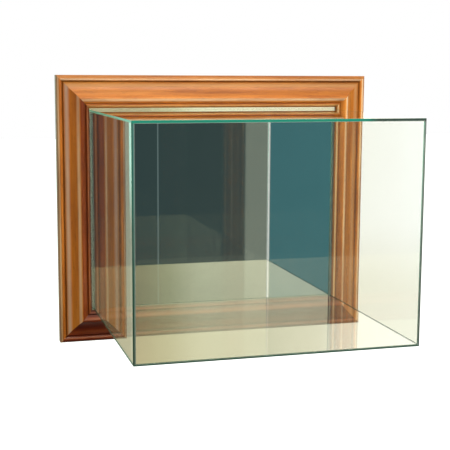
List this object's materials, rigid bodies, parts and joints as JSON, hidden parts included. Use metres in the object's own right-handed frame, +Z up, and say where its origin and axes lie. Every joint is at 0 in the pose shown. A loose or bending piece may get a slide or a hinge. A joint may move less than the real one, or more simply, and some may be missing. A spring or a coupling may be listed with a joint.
{
  "type": "wall display case",
  "caption": "Wall-hung helmet display case: a clear glass box standing out of a stained wood moulding frame, with a mirrored back that comes out behind turn buttons.",
  "frame": {"origin": "midway between the entry holes of the two keyhole hangers, on the back plane of the frame", "axes": "+X to the right seen from the front, +Y into the wall, +Z up"},
  "size_m": [0.473, 0.3322, 0.391],
  "materials": {
    "stained_walnut": "satin lacquer",
    "clear_glass": "polished, ground edges",
    "clear_silicone": "translucent, cured gloss",
    "clear_adhesive": "clear, UV cured",
    "mirror_glass": "silvered float glass",
    "fibreboard": "raw board",
    "foam_tape": "foam",
    "brass_plate": "stamped, brass plated",
    "plated_steel": "zinc plated",
    "black_rubber": "moulded"
  },
  "bodies": {
    "case": {"rail_top": "stained_walnut", "rail_bottom": "stained_walnut", "rail_left": "stained_walnut", "rail_right": "stained_walnut", "corner_v_nails": "plated_steel", "glass_front": "clear_glass", "glass_left": "clear_glass", "glass_right": "clear_glass", "glass_top": "clear_glass", "glass_bottom": "clear_glass", "bond_films": "clear_adhesive", "setting_blocks": "clear_silicone", "sealant_top": "clear_silicone", "sealant_bottom": "clear_silicone", "sealant_left": "clear_silicone", "sealant_right": "clear_silicone", "button_screws": "plated_steel", "keyhole_hanger_left": "plated_steel", "keyhole_hanger_right": "plated_steel", "hanger_screws": "plated_steel", "wall_bumpers": "black_rubber"},
    "back": {"mirror": "mirror_glass", "mirror_tape": "foam_tape", "back_board": "fibreboard"},
    "button_1": {"turn_button_1": "brass_plate"},
    "button_2": {"turn_button_2": "brass_plate"},
    "button_3": {"turn_button_3": "brass_plate"},
    "button_4": {"turn_button_4": "brass_plate"},
    "button_5": {"turn_button_5": "brass_plate"},
    "button_6": {"turn_button_6": "brass_plate"}
  },
  "joints": [
    {"name": "back_off", "type": "slide", "parent": "case", "child": "back", "axis": [0, 1, 0], "range_m": [0, 0.15]},
    {"name": "button_1_turn", "type": "hinge", "parent": "case", "child": "button_1", "pos_m": [-0.08, 0, -0.005], "axis": [0, 1, 0], "range_deg": [-90, 0]},
    {"name": "button_2_turn", "type": "hinge", "parent": "case", "child": "button_2", "pos_m": [0.08, 0, -0.005], "axis": [0, 1, 0], "range_deg": [0, 90]},
    {"name": "button_3_turn", "type": "hinge", "parent": "case", "child": "button_3", "pos_m": [-0.08, 0, -0.348], "axis": [0, 1, 0], "range_deg": [0, 90]},
    {"name": "button_4_turn", "type": "hinge", "parent": "case", "child": "button_4", "pos_m": [0.08, 0, -0.348], "axis": [0, 1, 0], "range_deg": [-90, 0]},
    {"name": "button_5_turn", "type": "hinge", "parent": "case", "child": "button_5", "pos_m": [-0.2125, 0, -0.1765], "axis": [0, 1, 0], "range_deg": [-90, 0]},
    {"name": "button_6_turn", "type": "hinge", "parent": "case", "child": "button_6", "pos_m": [0.2125, 0, -0.1765], "axis": [0, 1, 0], "range_deg": [0, 90]}
  ]
}
